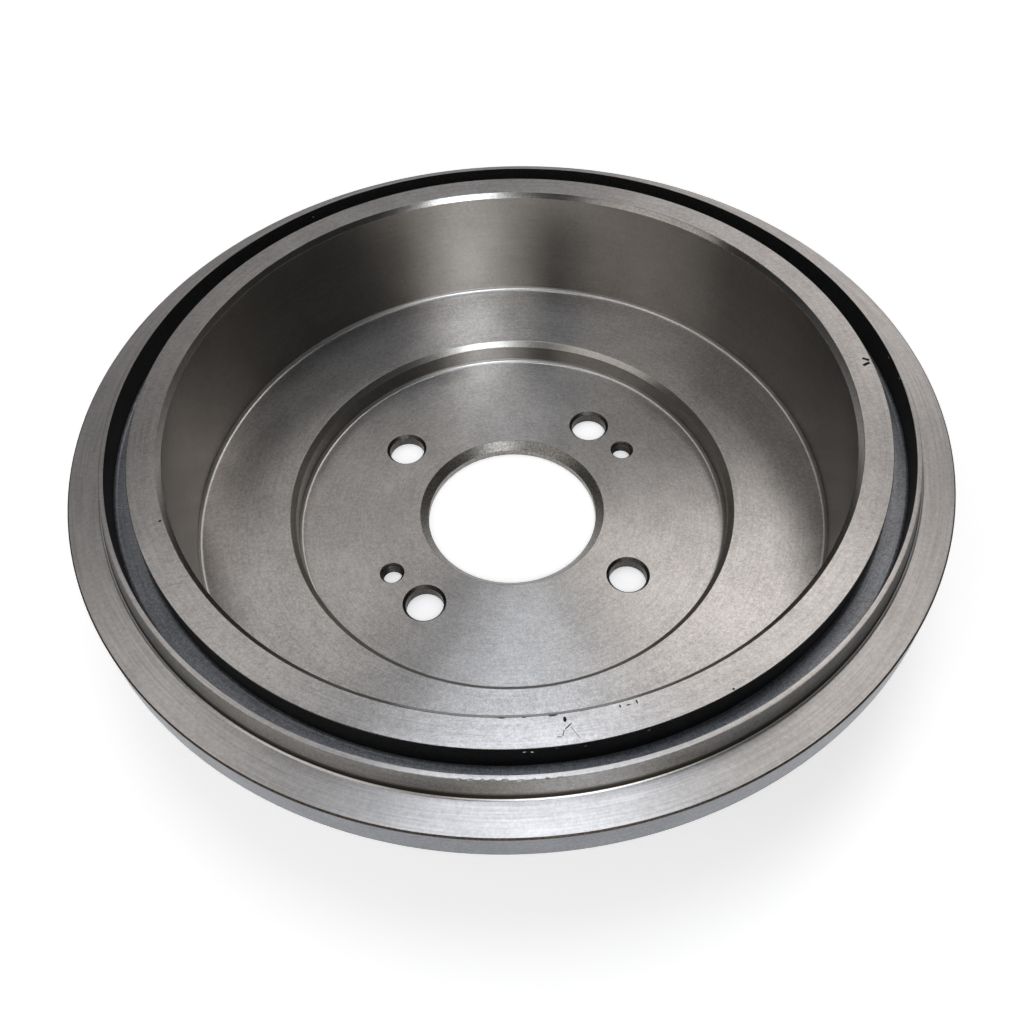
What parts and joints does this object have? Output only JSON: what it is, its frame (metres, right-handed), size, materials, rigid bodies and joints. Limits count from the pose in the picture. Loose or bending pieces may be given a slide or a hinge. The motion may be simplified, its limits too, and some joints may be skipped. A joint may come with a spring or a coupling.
{
  "type": "brake drum",
  "caption": "Cast iron rear brake drum: deep friction bore, stepped hub recess with pilot bore, stud and jacking holes, and a flanged rim with a labyrinth groove.",
  "frame": {"origin": "on the drum's axis, in the plane of the wheel face that the drum stands on", "axes": "+Z along the drum's axis towards its open side, +X midway between two stud holes"},
  "size_m": [0.2808, 0.2808, 0.0619],
  "materials": {
    "grey_iron": "turned bright on the working faces, dark as cast in the groove and on the outside"
  },
  "bodies": {
    "root": {"brake_drum": "grey_iron"}
  },
  "joints": []
}
